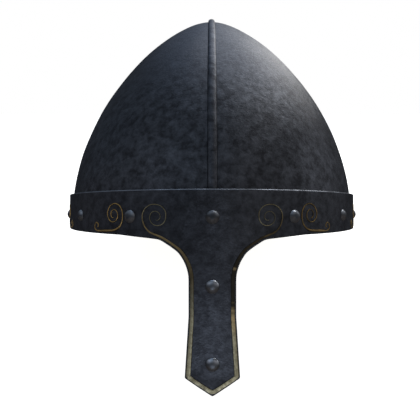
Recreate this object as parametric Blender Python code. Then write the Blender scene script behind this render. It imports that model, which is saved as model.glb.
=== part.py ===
"""A norse iron nasal helmet: a pointed bowl, a raised comb rib over its crown, a riveted brow band
that runs down into a nose guard, and brass scrolls let into the band.

It stands on a flat floor as it rests by itself, on the tip of the nose guard and the back of the rim.
Sizes are in metres. In the helmet's own frame the wearer faces -Y and the band's lower edge is at
z = 0. An angle round the helmet starts at the brow and is positive towards +X.
"""

import math

import bpy
from mathutils import Vector

# Brow band, outside
BAND_HALF_WIDTH = 0.104
BAND_HALF_DEPTH = 0.122
BAND_HEIGHT = 0.022
BAND_THICKNESS = 0.0017

# Nose guard, in one piece with the band. Lengths run down from the band's lower edge.
NECK_WIDTH = 0.022
SHOULDER_WIDTH = 0.0256
NASAL_LENGTH = 0.0728
POINT_LENGTH = 0.008
FLARE_START = 0.0366

# The band's lower edge curves down into the neck. Each row is a share of how far the curve reaches
# beyond the neck, and a share of how far it drops.
FILLET_SPAN = 0.035
FILLET_DROP = 0.020
FILLET_SHARES = (
    (1.0, 0.0), (0.714, 0.033), (0.486, 0.063), (0.389, 0.090), (0.294, 0.180), (0.211, 0.273),
    (0.137, 0.375), (0.074, 0.530), (0.031, 0.695), (0.006, 0.860), (0.0, 1.0),
)

# Bowl: an upright wall behind the band, then a pointed dome
BOWL_THICKNESS = 0.0016
BOWL_RIM_SETBACK = 0.001
SPRING_HEIGHT = 0.0132
DOME_HEIGHT = 0.149
DOME_PLAN_POWER = 1.334
DOME_RISE_POWER = 1.8

# Comb rib over the crown
RIB_WIDTH = 0.0048
RIB_RISE = 0.0016

# Rivets through the band and the bowl, and through the nose guard
BAND_RIVETS = 16
RIVET_HEIGHT = 0.0091
HEAD_RADIUS = 0.0031
HEAD_RISE = 0.0019
SHANK_RADIUS = 0.0014
TAIL_RADIUS = 0.0022
TAIL_RISE = 0.0008
NASAL_RIVET_DROPS = {"upper": 0.0226, "lower": 0.0580}
# A head's round between its crown and the plate: (share of the radius, share of the rise)
HEAD_ROUND = ((0.70, 0.86), (0.96, 0.42), (1.0, 0.0))

# Brass let into the iron. Across the band, a scroll is measured from its rivet's centre line.
INLAY_RISE = 0.0005
EDGING_WIDTH = 0.0016
EDGING_MARGIN = 0.0005
EDGING_JOINS_ROW = 3
BROW_SCROLL_RADIUS = 0.0056
BROW_SCROLL_REACH = 0.0152
BROW_SCROLL_HEIGHT = 0.0095
BROW_LEAD_WIDTH = 0.0009
BAND_SCROLL_RADIUS = 0.0051
BAND_SCROLL_REACH = 0.0108
BAND_SCROLL_HEIGHT = 0.0103
SCROLL_TIP_WIDTH = 0.00045
SCROLL_STEM_WIDTH = 0.0010
CURL_REACH = 0.0255
CURL_HEIGHT = 0.0043
CURL_RADIUS = 0.0016

# A scroll's line turns once every four rows, from under its centre, up the side next to the rivet
# and over the top. Each row is how far it is from the centre there, as a share of the scroll's radius.
BROW_SCROLL_SHARES = (1.52, 1.34, 0.97, 1.01, 0.80, 0.56, 0.39, 0.47, 0.37)
BAND_SCROLL_SHARES = (1.60, 1.18, 1.00, 0.99, 0.79, 0.51, 0.43, 0.49, 0.42)
# The small curl at a stem's end, from under its centre, as shares of CURL_RADIUS
CURL_SHARES = (1.63, 1.09, 0.93, 1.05, 0.80)

# Clearances between pieces that touch on the real helmet
SEAT_GAP = 0.0003
INLAY_GAP = 0.0002

# How finely curves are faceted
BOWL_SEGMENTS = 56
BOWL_RINGS = 11
BAND_SEGMENTS = 54
NASAL_COLUMNS = 10
RIB_STATIONS = 36
RIVET_SIDES = 10
HOLE_SIDES = 8
SPIRAL_STEPS = 3
CURL_STEPS = 2
STRIP_TURN = math.radians(3)

BOWL_HALF_WIDTH = BAND_HALF_WIDTH - BAND_THICKNESS - SEAT_GAP
BOWL_HALF_DEPTH = BAND_HALF_DEPTH - BAND_THICKNESS - SEAT_GAP
RIVET_SPACING = math.tau / BAND_RIVETS
FILLET_REACH = NECK_WIDTH / 2 + FILLET_SPAN
BAND_ARC = (BAND_HALF_WIDTH + BAND_HALF_DEPTH) / 2


def clear_scene():
    for obj in list(bpy.data.objects):
        bpy.data.objects.remove(obj, do_unlink=True)


def material(name, colour, metallic, roughness):
    made = bpy.data.materials.new(name)
    made.use_nodes = True
    shader = made.node_tree.nodes["Principled BSDF"]
    shader.inputs["Base Color"].default_value = (*colour, 1.0)
    shader.inputs["Metallic"].default_value = metallic
    shader.inputs["Roughness"].default_value = roughness
    return made


def add_object(name, mesh, parent, finish=None):
    obj = bpy.data.objects.new(name, mesh)
    bpy.context.scene.collection.objects.link(obj)
    obj.parent = parent
    if finish and not mesh.materials:
        mesh.materials.append(finish)
    return obj


def mesh_of(name, points, faces, smooth_angle=30):
    mesh = bpy.data.meshes.new(name)
    mesh.from_pydata(points, [], faces)
    mesh.validate()
    mesh.shade_smooth()
    mesh.set_sharp_from_angle(angle=math.radians(smooth_angle))
    return mesh


def band_point(angle, height, proud=0.0):
    """A point of the band's outer face, or one that stands proud of it."""
    on_face = Vector((BAND_HALF_WIDTH * math.sin(angle), -BAND_HALF_DEPTH * math.cos(angle), height))
    return on_face + proud * band_normal(angle)


def band_normal(angle):
    across = math.sin(angle) / BAND_HALF_WIDTH
    ahead = -math.cos(angle) / BAND_HALF_DEPTH
    return Vector((across, ahead, 0)).normalized()


def angle_at(across):
    """The angle of the band's outer face at this distance from the middle plane."""
    return math.asin(across / BAND_HALF_WIDTH)


def eased(values, position):
    """A value between the rows of a table, level at each row."""
    row = min(int(position), len(values) - 2)
    part = position - row
    part = part * part * (3 - 2 * part)
    return values[row] + (values[row + 1] - values[row]) * part


def solidify(obj, thickness):
    inward = obj.modifiers.new("plate_thickness", "SOLIDIFY")
    inward.thickness = thickness
    inward.offset = -1
    inward.use_even_offset = True


def cut_holes(obj, cutter):
    holes = obj.modifiers.new("rivet_holes", "BOOLEAN")
    holes.operation = "DIFFERENCE"
    holes.solver = "EXACT"
    holes.object = cutter


def dome_ring(rise):
    """The share of the bowl's half width and half depth left at this share of the dome's height."""
    return max(0.0, 1 - rise**DOME_RISE_POWER) ** (1 / DOME_PLAN_POWER)


def build_bowl(parent, finish, cutter):
    """The raised bowl: one sheet, closed at the apex and open below."""
    levels = [(BOWL_RIM_SETBACK, 1.0)]
    for ring in range(BOWL_RINGS):
        rise = math.sin(math.pi / 2 * ring / BOWL_RINGS)
        levels.append((SPRING_HEIGHT + DOME_HEIGHT * rise, dome_ring(rise)))
    points = []
    for height, share in levels:
        for step in range(BOWL_SEGMENTS):
            angle = math.tau * step / BOWL_SEGMENTS
            across = BOWL_HALF_WIDTH * share * math.sin(angle)
            ahead = -BOWL_HALF_DEPTH * share * math.cos(angle)
            points.append((across, ahead, height))
    apex = len(points)
    points.append((0, 0, SPRING_HEIGHT + DOME_HEIGHT))
    faces = []
    for level in range(len(levels)):
        for step in range(BOWL_SEGMENTS):
            here = level * BOWL_SEGMENTS + step
            beside = level * BOWL_SEGMENTS + (step + 1) % BOWL_SEGMENTS
            if level + 1 < len(levels):
                faces.append((here, beside, beside + BOWL_SEGMENTS, here + BOWL_SEGMENTS))
            else:
                faces.append((here, beside, apex))
    bowl = add_object("bowl", mesh_of("bowl", points, faces), parent, finish)
    solidify(bowl, BOWL_THICKNESS)
    cut_holes(bowl, cutter)


def nasal_outline():
    """Rows (half width, height) of the nose guard's right edge, from the band down to the shoulder."""
    rows = [
        (NECK_WIDTH / 2 + FILLET_SPAN * out, -FILLET_DROP * down)
        for out, down in FILLET_SHARES
    ]
    rows.append((NECK_WIDTH / 2, -FLARE_START))
    rows.append((SHOULDER_WIDTH / 2, POINT_LENGTH - NASAL_LENGTH))
    return rows


def build_brow_band(parent, finish, cutter):
    """The band and the nose guard, cut from one plate and bent round the bowl."""
    points = []
    faces = []
    rows = [(FILLET_REACH, BAND_HEIGHT), *nasal_outline()]
    columns = NASAL_COLUMNS + 1
    for half, height in rows:
        for column in range(columns):
            across = half * (2 * column / NASAL_COLUMNS - 1)
            points.append(band_point(angle_at(across), height))
    for row in range(len(rows) - 1):
        for column in range(NASAL_COLUMNS):
            above = row * columns + column
            below = above + columns
            faces.append((above, below, below + 1, above + 1))
    tip = len(points)
    points.append(band_point(0, -NASAL_LENGTH))
    last = (len(rows) - 1) * columns
    for column in range(NASAL_COLUMNS):
        faces.append((last + column, tip, last + column + 1))

    # The rest of the band runs round the back, from the fillet's right end to its left end
    front = angle_at(FILLET_REACH)
    upper, lower = columns - 1, 2 * columns - 1
    for step in range(1, BAND_SEGMENTS + 1):
        if step < BAND_SEGMENTS:
            angle = front + (math.tau - 2 * front) * step / BAND_SEGMENTS
            next_upper, next_lower = len(points), len(points) + 1
            points.append(band_point(angle, BAND_HEIGHT))
            points.append(band_point(angle, 0))
        else:
            next_upper, next_lower = 0, columns
        faces.append((upper, lower, next_lower, next_upper))
        upper, lower = next_upper, next_lower
    band = add_object("brow_band", mesh_of("brow_band", points, faces), parent, finish)
    solidify(band, BAND_THICKNESS)
    cut_holes(band, cutter)


def bowl_side(point):
    """Below zero inside the bowl's outer surface, above zero outside it. It holds above the spring line."""
    share = math.hypot(point.x / BOWL_HALF_WIDTH, point.y / BOWL_HALF_DEPTH)
    rise = max(0.0, point.z - SPRING_HEIGHT) / DOME_HEIGHT
    return share**DOME_PLAN_POWER + rise**DOME_RISE_POWER - 1


def bowl_drop(point, normal):
    """How far below this point, against the normal, the bowl's outer surface lies."""
    near, far = -RIB_WIDTH, RIB_WIDTH
    for _ in range(40):
        middle = (near + far) / 2
        if bowl_side(point - normal * middle) > 0:
            near = middle
        else:
            far = middle
    return near


def rib_line():
    """Points (position, normal) of the bowl's middle line between the band's edges, front to back."""
    start = math.asin((BAND_HEIGHT + SEAT_GAP - SPRING_HEIGHT) / DOME_HEIGHT)
    line = []
    for station in range(RIB_STATIONS + 1):
        turn = start + (math.pi - 2 * start) * station / RIB_STATIONS
        rise = math.sin(turn)
        side = -1 if turn < math.pi / 2 else 1
        ahead = side * BOWL_HALF_DEPTH * dome_ring(rise)
        line.append(Vector((0, ahead, SPRING_HEIGHT + DOME_HEIGHT * rise)))
    stations = []
    for index, place in enumerate(line):
        along = line[min(index + 1, RIB_STATIONS)] - line[max(index - 1, 0)]
        stations.append((place, Vector((0, -along.z, along.y)).normalized()))
    return stations


def build_comb_rib(parent, finish):
    """A half-round strip over the crown, its underside bent to the bowl and its crest rounded."""
    half = RIB_WIDTH / 2
    crest_turns = [math.pi * step / 6 for step in range(1, 6)]
    sections = []
    for place, normal in rib_line():
        sink = SEAT_GAP - bowl_drop(place + Vector((half, 0, 0)), normal)
        section = [
            Vector((-half, 0, 0)) + normal * sink,
            normal * SEAT_GAP,
            Vector((half, 0, 0)) + normal * sink,
        ]
        for turn in crest_turns:
            lift = sink + (SEAT_GAP + RIB_RISE - sink) * math.sin(turn)
            section.append(Vector((half * math.cos(turn), 0, 0)) + normal * lift)
        sections.append([place + corner for corner in section])
    add_object("comb_rib", swept("comb_rib", sections), parent, finish)


def swept(name, sections):
    """A closed bar through sections that all have the same number of corners."""
    corners = len(sections[0])
    points = [corner for section in sections for corner in section]
    faces = [tuple(range(corners))]
    for index in range(len(sections) - 1):
        for corner in range(corners):
            here = index * corners + corner
            beside = index * corners + (corner + 1) % corners
            faces.append((here, here + corners, beside + corners, beside))
    last = (len(sections) - 1) * corners
    faces.append(tuple(last + corner for corner in reversed(range(corners))))
    return mesh_of(name, points, faces, smooth_angle=40)


def turned(name, profile, sides):
    """A closed turned shape. The profile's (radius, height) rows start and end on the axis."""
    points = [(0, 0, profile[0][1])]
    for radius, height in profile[1:-1]:
        for side in range(sides):
            turn = math.tau * side / sides
            points.append((radius * math.cos(turn), radius * math.sin(turn), height))
    points.append((0, 0, profile[-1][1]))
    rings = len(profile) - 2
    last = len(points) - 1
    faces = []
    for side in range(sides):
        beside = (side + 1) % sides
        faces.append((0, 1 + side, 1 + beside))
        for ring in range(rings - 1):
            upper = 1 + ring * sides
            lower = upper + sides
            faces.append((upper + side, lower + side, lower + beside, upper + beside))
        base = 1 + (rings - 1) * sides
        faces.append((base + beside, base + side, last))
    return mesh_of(name, points, faces, smooth_angle=50)


def rivet_mesh(name, grip):
    """A round-headed rivet along +Z from the plate's outer face, closed over at the back of the grip."""
    head = [(HEAD_RADIUS * out, SEAT_GAP + HEAD_RISE * up) for out, up in HEAD_ROUND]
    profile = [
        (0, SEAT_GAP + HEAD_RISE),
        *head,
        (SHANK_RADIUS, SEAT_GAP),
        (SHANK_RADIUS, -grip),
        (TAIL_RADIUS, -grip),
        (TAIL_RADIUS, -grip - TAIL_RISE),
        (0, -grip - TAIL_RISE),
    ]
    return turned(name, profile, RIVET_SIDES)


def rivet_places():
    """Each rivet's name, angle and height. Those on the band are numbered from the brow, towards +X."""
    places = []
    for number in range(BAND_RIVETS):
        places.append((f"band_rivet_{number + 1:02d}", number * RIVET_SPACING, RIVET_HEIGHT))
    for name, drop in NASAL_RIVET_DROPS.items():
        places.append((f"nasal_rivet_{name}", 0.0, -drop))
    return places


def build_rivets(parent, finish):
    band_grip = BAND_THICKNESS + BOWL_THICKNESS + 2 * SEAT_GAP
    on_band = rivet_mesh("band_rivet", band_grip)
    on_nasal = rivet_mesh("nasal_rivet", BAND_THICKNESS + SEAT_GAP)
    for name, angle, height in rivet_places():
        mesh = on_band if height > 0 else on_nasal
        rivet = add_object(name, mesh, parent, finish)
        rivet.location = band_point(angle, height)
        rivet.rotation_mode = "QUATERNION"
        rivet.rotation_quaternion = band_normal(angle).to_track_quat("Z", "Y")


def build_hole_cutter(parent):
    """One cutter with a round bar through each rivet's place, longer than the plates are thick."""
    reach = 2 * (BAND_THICKNESS + BOWL_THICKNESS)
    radius = SHANK_RADIUS + SEAT_GAP
    bar = turned("bar", [(0, reach), (radius, reach), (radius, -reach), (0, -reach)], HOLE_SIDES)
    points = []
    faces = []
    for _, angle, height in rivet_places():
        turn = band_normal(angle).to_track_quat("Z", "Y")
        start = len(points)
        points.extend(band_point(angle, height) + turn @ vertex.co for vertex in bar.vertices)
        faces.extend(tuple(start + corner for corner in face.vertices) for face in bar.polygons)
    cutter = add_object("rivet_hole_cutter", mesh_of("rivet_hole_cutter", points, faces), parent)
    cutter.hide_render = True
    cutter.display_type = "WIRE"
    return cutter


def spiral(centre, radius, shares, steps):
    """Points (reach, height) of a line that winds in round a centre, up the side of least reach first."""
    centre_reach, centre_height = centre
    points = []
    for step in range(steps * (len(shares) - 1) + 1):
        quarter = step / steps
        turn = math.pi / 2 * quarter
        length = radius * eased(shares, quarter)
        reach = centre_reach - length * math.sin(turn)
        points.append((reach, centre_height - length * math.cos(turn)))
    return points


def tapered(points, first_width, last_width):
    """The points with a width each, changing evenly from the first to the last."""
    steps = len(points) - 1
    return [
        (*point, first_width + (last_width - first_width) * index / steps)
        for index, point in enumerate(points)
    ]


def bent(line):
    """The (angle, height, width) rows with more between them where a step would cut across the curve."""
    rows = [line[0]]
    for before, after in zip(line, line[1:]):
        steps = max(1, math.ceil(abs(after[0] - before[0]) / STRIP_TURN))
        for step in range(1, steps + 1):
            rows.append(tuple(a + (b - a) * step / steps for a, b in zip(before, after)))
    return rows


def inlay(name, line, parent, finish):
    """A brass strip with a bevelled top along a line of (angle, height, width) rows on the band."""
    line = bent(line)
    flat_topped = max(width for _, _, width in line) > SCROLL_STEM_WIDTH
    places = [band_point(angle, height) for angle, height, _ in line]
    sections = []
    for index, (angle, height, width) in enumerate(line):
        normal = band_normal(angle)
        along = places[min(index + 1, len(places) - 1)] - places[max(index - 1, 0)]
        side = along.cross(normal).normalized() * width
        base = band_point(angle, height, INLAY_GAP)
        crest = base + normal * INLAY_RISE
        section = [base - side / 2, base + side / 2, crest + side / 8, crest - side / 8]
        if not flat_topped:
            section[2:] = [crest]
        sections.append(section)
    add_object(name, swept(name, sections), parent, finish)


def edging_line():
    """The nose guard's edging on the right side, from the brow scroll's heart down to the tip."""
    inset = EDGING_MARGIN + EDGING_WIDTH / 2
    centre = (BROW_SCROLL_REACH, BROW_SCROLL_HEIGHT)
    heart = spiral(centre, BROW_SCROLL_RADIUS, BROW_SCROLL_SHARES, SPIRAL_STEPS)
    heart = [(RIVET_SPACING - reach / BAND_ARC, height) for reach, height in heart[1:]]
    line = tapered(heart[::-1], SCROLL_TIP_WIDTH, BROW_LEAD_WIDTH)

    # Mitred corners down the nose guard, each inset from the plate's edge by the same distance
    outline = [Vector(row) for row in nasal_outline()[EDGING_JOINS_ROW - 1:]]
    shoulder = outline[-1]
    corners = [*outline, Vector((0, -NASAL_LENGTH)), Vector((-shoulder.x, shoulder.y))]
    curved = len(FILLET_SHARES) - EDGING_JOINS_ROW
    for index, (before, corner, after) in enumerate(zip(corners, corners[1:], corners[2:])):
        entering = (corner - before).normalized()
        leaving = (after - corner).normalized()
        inward = Vector((entering.y, -entering.x)) + Vector((leaving.y, -leaving.x))
        place = corner + inward.normalized() * inset / (inward.length / 2)
        widening = 2 / inward.length
        width = BROW_LEAD_WIDTH + (EDGING_WIDTH - BROW_LEAD_WIDTH) * min(1.0, index / curved)
        line.append((angle_at(place.x), place.y, width * widening))
    return line


def build_nasal_edging(parent, finish):
    """One strip: from the left brow scroll down round the nose guard and up to the right scroll."""
    right = edging_line()
    left = [(-angle, height, width) for angle, height, width in right[:-1]]
    inlay("nasal_edging", right + left[::-1], parent, finish)


def band_scroll_line():
    """A band scroll's (reach, height, width) rows, from its heart along its stem to the small curl."""
    centre = (BAND_SCROLL_REACH, BAND_SCROLL_HEIGHT)
    heart = spiral(centre, BAND_SCROLL_RADIUS, BAND_SCROLL_SHARES, SPIRAL_STEPS)
    curl = spiral((-CURL_REACH, CURL_HEIGHT), CURL_RADIUS, CURL_SHARES, CURL_STEPS)
    curl = [(-reach, height) for reach, height in curl]
    line = tapered(heart[::-1], SCROLL_TIP_WIDTH, SCROLL_STEM_WIDTH)
    return line + tapered(curl, SCROLL_STEM_WIDTH, SCROLL_TIP_WIDTH)


def build_band_scrolls(parent, finish):
    """Scrolls in pairs that flank every second rivet, on both sides. The nose guard takes two places."""
    number = 0
    for rivet in range(1, BAND_RIVETS, 2):
        for direction in (-1, 1):
            faces_brow = (rivet == 1 and direction < 0) or (rivet == BAND_RIVETS - 1 and direction > 0)
            if faces_brow:
                continue
            number += 1
            line = [
                (rivet * RIVET_SPACING + direction * reach / BAND_ARC, height, width)
                for reach, height, width in band_scroll_line()
            ]
            inlay(f"band_scroll_{number:02d}", line, parent, finish)


def set_down(helmet):
    """Leans the helmet back onto its nose guard's tip and the rim's back, centred over the origin."""
    between = 2 * BAND_HALF_DEPTH - BAND_THICKNESS
    helmet.rotation_euler.x = -math.atan2(NASAL_LENGTH, between)
    bpy.context.view_layer.update()
    graph = bpy.context.evaluated_depsgraph_get()
    corners = []
    for child in helmet.children:
        if child.hide_render:
            continue
        shown = child.evaluated_get(graph)
        corners.extend(shown.matrix_world @ vertex.co for vertex in shown.data.vertices)
    ahead = [corner.y for corner in corners]
    helmet.location = (0, -(min(ahead) + max(ahead)) / 2, -min(corner.z for corner in corners))


def main():
    clear_scene()
    iron = material("blackened_iron", (0.045, 0.050, 0.060), 0.85, 0.50)
    rivet_iron = material("worn_rivet_iron", (0.110, 0.115, 0.125), 0.90, 0.40)
    brass = material("aged_brass", (0.330, 0.230, 0.095), 0.90, 0.42)
    helmet = bpy.data.objects.new("helmet", None)
    bpy.context.scene.collection.objects.link(helmet)
    cutter = build_hole_cutter(helmet)
    build_bowl(helmet, iron, cutter)
    build_brow_band(helmet, iron, cutter)
    build_comb_rib(helmet, iron)
    build_rivets(helmet, rivet_iron)
    build_nasal_edging(helmet, brass)
    build_band_scrolls(helmet, brass)
    set_down(helmet)


main()
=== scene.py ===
import math

import bpy
from mathutils import Matrix, Vector, noise
from mathutils.geometry import delaunay_2d_cdt


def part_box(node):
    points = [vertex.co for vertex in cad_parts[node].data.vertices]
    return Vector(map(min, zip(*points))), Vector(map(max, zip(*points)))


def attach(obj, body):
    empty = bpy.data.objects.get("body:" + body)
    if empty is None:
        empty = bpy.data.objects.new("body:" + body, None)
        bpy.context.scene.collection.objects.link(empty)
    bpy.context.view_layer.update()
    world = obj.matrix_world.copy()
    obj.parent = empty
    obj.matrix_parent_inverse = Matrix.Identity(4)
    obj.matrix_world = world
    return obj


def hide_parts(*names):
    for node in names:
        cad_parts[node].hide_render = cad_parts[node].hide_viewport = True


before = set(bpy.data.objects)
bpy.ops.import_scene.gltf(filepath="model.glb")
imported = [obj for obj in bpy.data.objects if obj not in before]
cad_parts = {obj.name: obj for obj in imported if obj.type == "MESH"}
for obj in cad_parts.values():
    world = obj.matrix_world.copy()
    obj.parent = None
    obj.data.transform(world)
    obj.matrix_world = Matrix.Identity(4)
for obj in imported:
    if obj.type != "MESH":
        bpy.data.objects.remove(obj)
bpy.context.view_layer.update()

# The bowl: one sheet of wrought iron, raised to a point with the hammer, then blackened in the
# forge and waxed. Behind the band its wall stands upright, and above it the dome starts.
BOWL_HALF_WIDTH = 0.102
BOWL_HALF_DEPTH = 0.120
BOWL_THICKNESS = 0.0016
BOWL_RIM = 0.001
SPRING_HEIGHT = 0.0132
DOME_HEIGHT = 0.149
DOME_PLAN_POWER = 1.334
DOME_RISE_POWER = 1.8
BOWL_SEGMENTS = 224
WALL_ROWS = (0.004, 0.007, 0.010)
DOME_RINGS = 84
# The hammer's marks: wide swells and close dents, and how deep they are
BEATEN_WIDE = 0.026
BEATEN_WIDE_DEPTH = 0.00022
BEATEN_CLOSE = 0.0085
BEATEN_CLOSE_DEPTH = 0.00005
# The sheet stays true this close to the comb and the band, and is fully beaten at the second distance
BEATEN_BESIDE_COMB = (0.003, 0.014)
BEATEN_ABOVE_BAND = (0.022, 0.040)
# Hands and cloth have burnished the crown, which softens its mottling between these heights
CROWN_BURNISHED = 0.60
BURNISHED_FROM = (0.060, 0.105)

# The helmet rests by itself on the tip of its nose guard and the back of its rim, so it leans back.
# Each piece is made in the helmet's own frame, where the wearer faces -Y and the rim's lower edge is
# at z = 0, and is then set down into that lean. Angles start at the brow, towards +X.
BAND_HALF_DEPTH = 0.122
BAND_THICKNESS = 0.0017
NASAL_LENGTH = 0.0728

lean = math.atan2(NASAL_LENGTH, 2 * BAND_HALF_DEPTH - BAND_THICKNESS)
band_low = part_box("brow_band")[0]
set_down = Matrix.Translation((
    0,
    band_low.y + BAND_HALF_DEPTH * math.cos(lean) + NASAL_LENGTH * math.sin(lean),
    band_low.z + BAND_HALF_DEPTH * math.sin(lean),
)) @ Matrix.Rotation(-lean, 4, "X")


def make_piece(name, points, faces, finishes, sharp_angle=50):
    """A mesh object from points in the helmet's own frame."""
    mesh = bpy.data.meshes.new(name)
    mesh.from_pydata([set_down @ Vector(point) for point in points], [], faces)
    for finish in finishes:
        mesh.materials.append(finish)
    mesh.shade_smooth()
    mesh.set_sharp_from_angle(angle=math.radians(sharp_angle))
    piece = bpy.data.objects.new(name, mesh)
    bpy.context.scene.collection.objects.link(piece)
    return piece


def mark(piece, name, values):
    """Stores a share for each point, which a material reads by this name."""
    piece.data.attributes.new(name, "FLOAT", "POINT").data.foreach_set("value", values)


def clamped(value, low, high):
    return max(low, min(high, value))


def ramp(value, low, high):
    """From 0 at low to 1 at high, level at both ends."""
    share = clamped((value - low) / (high - low), 0.0, 1.0)
    return share * share * (3 - 2 * share)


def linear(code):
    """An sRGB hex colour as the linear colour that a shader's socket takes."""
    shares = [int(code[start:start + 2], 16) / 255 for start in (1, 3, 5)]
    return (*[s / 12.92 if s <= 0.04045 else ((s + 0.055) / 1.055) ** 2.4 for s in shares], 1.0)


def node(tree, kind, values=None, links=None, **settings):
    """Adds a node with its settings, the values of its sockets and what feeds them."""
    made = tree.nodes.new(kind)
    for name, value in settings.items():
        setattr(made, name, value)
    for socket, value in (values or {}).items():
        made.inputs[socket].default_value = value
    for socket, source in (links or {}).items():
        tree.links.new(source, made.inputs[socket])
    return made


# Oxide holds back the brightening that bare metal shows where it turns away from the eye
OXIDE_EDGE_TINT = (0.62, 0.62, 0.63, 1.0)
# The clouds and the grain against the patches. The grain is drawn at about a millimetre, coarser
# than the tenths of the real one, so that it shows. Burnished iron evens out to the mean shade
CLOUDS_TO_PATCH = 3
GRAIN_TO_PATCH = 0.28
MEAN_SHADE = 0.33


def forged_iron(name, dark, light, wear_and_highlight, painted_light, smooth, rough, patch=0.0046, relief=0.00010,
                polish=0.16):
    """Iron worked in the forge: dark oxide in soft patches over a fine grain, evener where it is
    burnished, lighter and shinier with wear and painted highlight, brown and duller where painted shade
    and painted reflection lie."""
    made = bpy.data.materials.new(name)
    made.use_nodes = True
    tree = made.node_tree
    shader = tree.nodes["Principled BSDF"]
    shader.inputs["Metallic"].default_value = 1.0
    shader.inputs["Specular Tint"].default_value = OXIDE_EDGE_TINT
    here = node(tree, "ShaderNodeTexCoord").outputs["Object"]
    drawn = node(tree, "ShaderNodeMapping", {"Scale": (0.8, 0.8, 1.3)}, {"Vector": here}).outputs[0]
    patches = node(tree, "ShaderNodeTexNoise",
                   {"Scale": 1 / patch, "Detail": 7.0, "Roughness": 0.66, "Distortion": 0.25},
                   {"Vector": here}).outputs[0]
    clouds = node(tree, "ShaderNodeTexNoise",
                  {"Scale": 1 / (CLOUDS_TO_PATCH * patch), "Detail": 2.0, "Roughness": 0.5},
                  {"Vector": here}).outputs[0]
    grain = node(tree, "ShaderNodeTexNoise",
                 {"Scale": 1 / (GRAIN_TO_PATCH * patch), "Detail": 3.0, "Roughness": 0.6,
                  "Distortion": 0.3},
                 {"Vector": drawn}).outputs[0]
    both = node(tree, "ShaderNodeMath", {1: 0.25}, {0: clouds, 2: patches},
                operation="MULTIPLY_ADD").outputs[0]
    shade = node(tree, "ShaderNodeMapRange",
                 {"From Min": 0.49, "From Max": 0.90, "To Min": 0.0, "To Max": 1.0},
                 {"Value": both}).outputs[0]
    burnish = node(tree, "ShaderNodeAttribute", attribute_name="burnished").outputs["Fac"]
    shade = node(tree, "ShaderNodeMix", {3: MEAN_SHADE}, {0: burnish, 2: shade}).outputs[0]
    colour = node(tree, "ShaderNodeMix", {6: linear(dark), 7: linear(light)}, {0: shade},
                  data_type="RGBA").outputs[2]
    # Lighter where worn, and where a painted highlight is marked
    edge = node(tree, "ShaderNodeAttribute", attribute_name="wear_and_highlight").outputs["Fac"]
    colour = node(tree, "ShaderNodeMix", {7: linear(wear_and_highlight)}, {0: edge, 6: colour},
                  data_type="RGBA").outputs[2]
    # Painted shade on the plates and a brown painted reflection on the rivets, both made duller too
    foot = node(tree, "ShaderNodeAttribute", attribute_name="painted_light").outputs["Fac"]
    colour = node(tree, "ShaderNodeMix", {7: linear(painted_light)}, {0: foot, 6: colour},
                  data_type="RGBA").outputs[2]
    tree.links.new(colour, shader.inputs["Base Color"])
    sheen = node(tree, "ShaderNodeMapRange",
                 {"From Min": 0.32, "From Max": 0.68, "To Min": rough, "To Max": smooth},
                 {"Value": grain}).outputs[0]
    sheen = node(tree, "ShaderNodeMath", {1: 0.25}, {0: foot, 2: sheen},
                 operation="MULTIPLY_ADD").outputs[0]
    sheen = node(tree, "ShaderNodeMath", {1: -polish}, {0: edge, 2: sheen},
                 operation="MULTIPLY_ADD").outputs[0]
    tree.links.new(sheen, shader.inputs["Roughness"])
    height = node(tree, "ShaderNodeMath", {1: 0.5}, {0: patches, 2: grain},
                  operation="MULTIPLY_ADD").outputs[0]
    bump = node(tree, "ShaderNodeBump", {"Strength": 1.0, "Distance": relief}, {"Height": height})
    tree.links.new(bump.outputs[0], shader.inputs["Normal"])
    return made


# Outside, the oxide has a blue-black satin that mottles in patches of a few millimetres, softer where
# it is burnished. Inside, the scale from the fire was left as it came: rougher, duller and browner.
# After the patches' two shades come the colour of wear and painted highlight and the colour of painted
# shade
blackened_iron = forged_iron("blackened_wrought_iron", "#36373a", "#64676d", "#a8adb6", "#1c1a19",
                             smooth=0.37, rough=0.52, patch=0.0038, relief=0.00015)
fire_scale = forged_iron("fire_scaled_iron", "#2b2926", "#433e39", "#5a5651", "#1c1a19",
                         smooth=0.55, rough=0.75)


def dome_share(rise):
    """The share of the bowl's half width and half depth left at this share of the dome's height."""
    return max(0.0, 1 - rise ** DOME_RISE_POWER) ** (1 / DOME_PLAN_POWER)


def bowl_place(angle, height):
    """The smooth bowl's outer surface and its normal at this angle and height."""
    rise = clamped((height - SPRING_HEIGHT) / DOME_HEIGHT, 0.0, 1.0)
    share = dome_share(rise)
    across = BOWL_HALF_WIDTH * share * math.sin(angle)
    ahead = -BOWL_HALF_DEPTH * share * math.cos(angle)
    out = DOME_PLAN_POWER * share ** (DOME_PLAN_POWER - 1)
    up = DOME_RISE_POWER * rise ** (DOME_RISE_POWER - 1) / DOME_HEIGHT
    normal = Vector((out * math.sin(angle) / BOWL_HALF_WIDTH,
                     -out * math.cos(angle) / BOWL_HALF_DEPTH, up))
    return Vector((across, ahead, height)), normal.normalized()


def beaten(place):
    """How far the hammer left the sheet proud of its true curve."""
    free = ramp(abs(place.x), *BEATEN_BESIDE_COMB) * ramp(place.z, *BEATEN_ABOVE_BAND)
    wide = noise.noise(place / BEATEN_WIDE)
    close = noise.noise(place / BEATEN_CLOSE + Vector((7.3, 2.1, 5.7)))
    return free * (BEATEN_WIDE_DEPTH * wide + BEATEN_CLOSE_DEPTH * close)


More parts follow.
